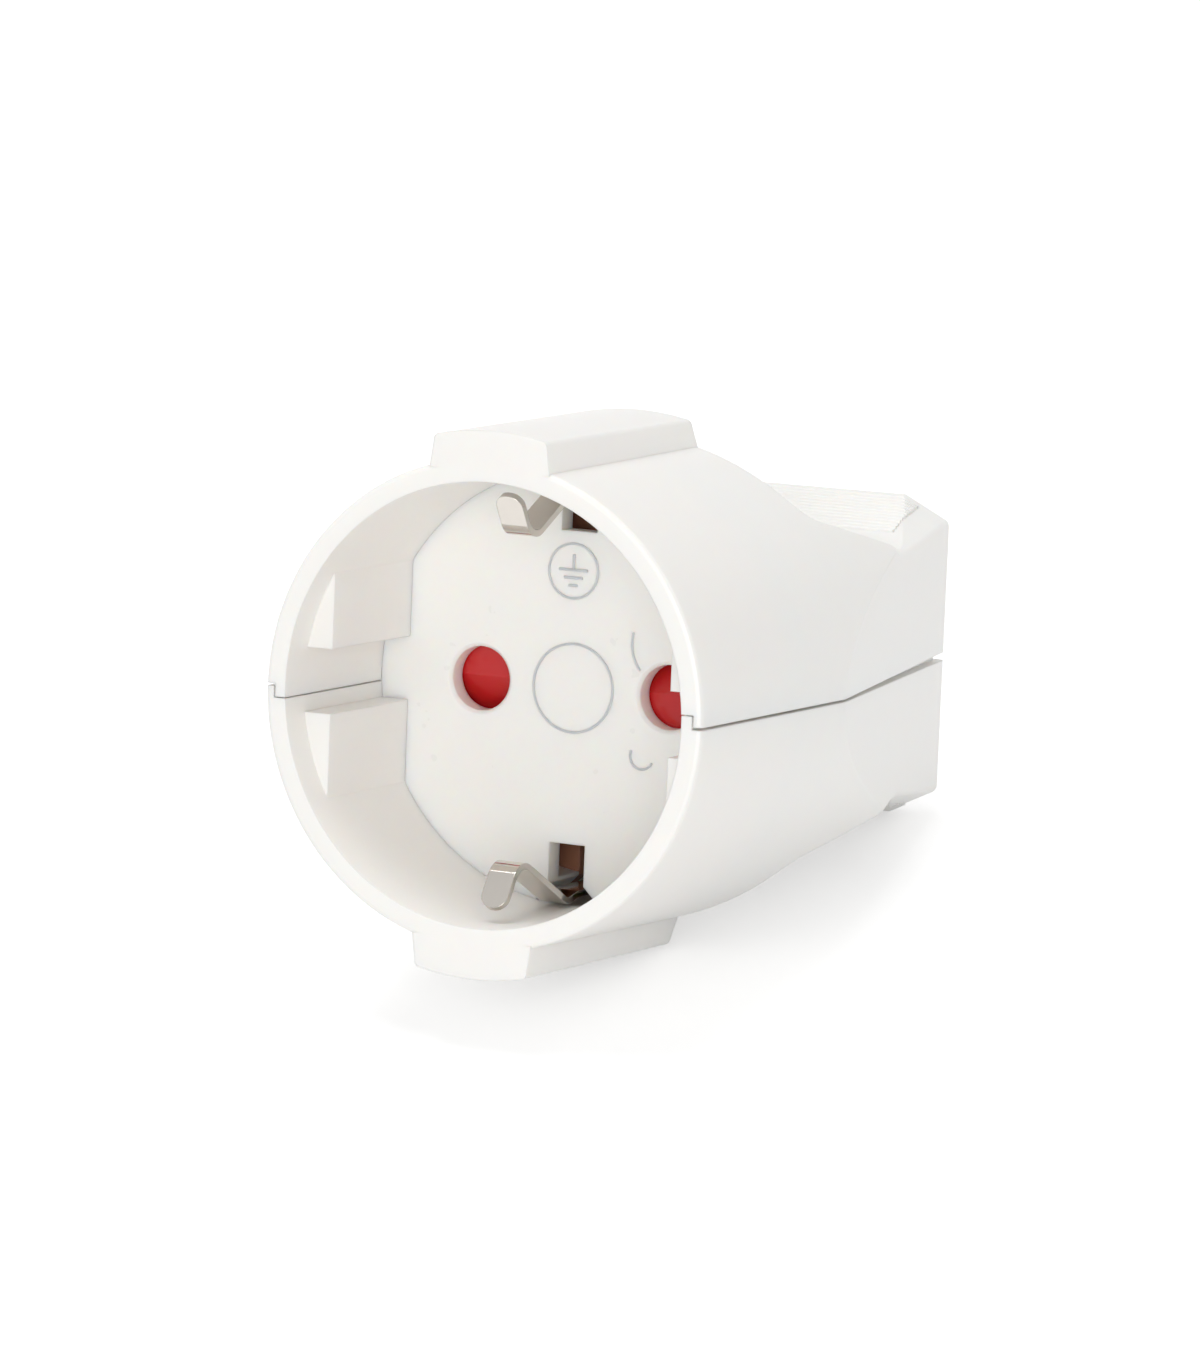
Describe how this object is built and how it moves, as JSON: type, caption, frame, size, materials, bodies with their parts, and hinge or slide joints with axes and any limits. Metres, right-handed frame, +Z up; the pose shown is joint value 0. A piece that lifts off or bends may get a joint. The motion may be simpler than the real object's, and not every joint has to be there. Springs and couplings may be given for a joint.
{
  "type": "inline socket connector",
  "caption": "Inline socket for an earthed round plug, with a child-safe shutter, side earth clips, thumb scoops with ribbed ramps and a screwed split housing.",
  "frame": {"origin": "centre of the mouth, on the plane of the rim", "axes": "lying as it rests on a table: +X across the pin holes, +Y towards the cord end, +Z up; the connector's own axis is tipped mouth up from +Y by 13.79 degrees about X"},
  "size_m": [0.0444, 0.073, 0.0538],
  "materials": {
    "housing": "fine satin moulding",
    "insert": "smooth",
    "carrier": "pressed, slightly mottled",
    "shutter": "smooth",
    "nickel": "bright plated strip",
    "contact": "rolled strip and drawn bar",
    "steel": "zinc plated"
  },
  "bodies": {
    "connector": {"upper_housing": "housing", "lower_housing": "housing", "socket_face": "insert", "shutter_spring": "steel", "contact_carrier": "carrier", "earth_strip": "nickel", "cord_clamp": "housing", "live_contact": "contact", "neutral_contact": "contact", "live_terminal": "contact", "neutral_terminal": "contact", "earth_terminal": "contact", "live_terminal_screw": "steel", "neutral_terminal_screw": "steel", "earth_terminal_screw": "steel", "insert_screw_upper": "steel", "insert_screw_lower": "steel", "clamp_screw_left": "steel", "clamp_screw_right": "steel", "housing_screw_left": "steel", "housing_screw_right": "steel"},
    "shutter": {"safety_shutter": "shutter"}
  },
  "joints": [
    {"name": "shutter_turn", "type": "hinge", "parent": "connector", "child": "shutter", "pos_m": [0, 0.02035, -0.00499], "axis": [0, 0.9712, -0.2384], "range_deg": [0, 38], "stiffness_Nm_per_rad": 0.001, "springref_deg": -28.65, "deforming": ["shutter_spring"]}
  ]
}
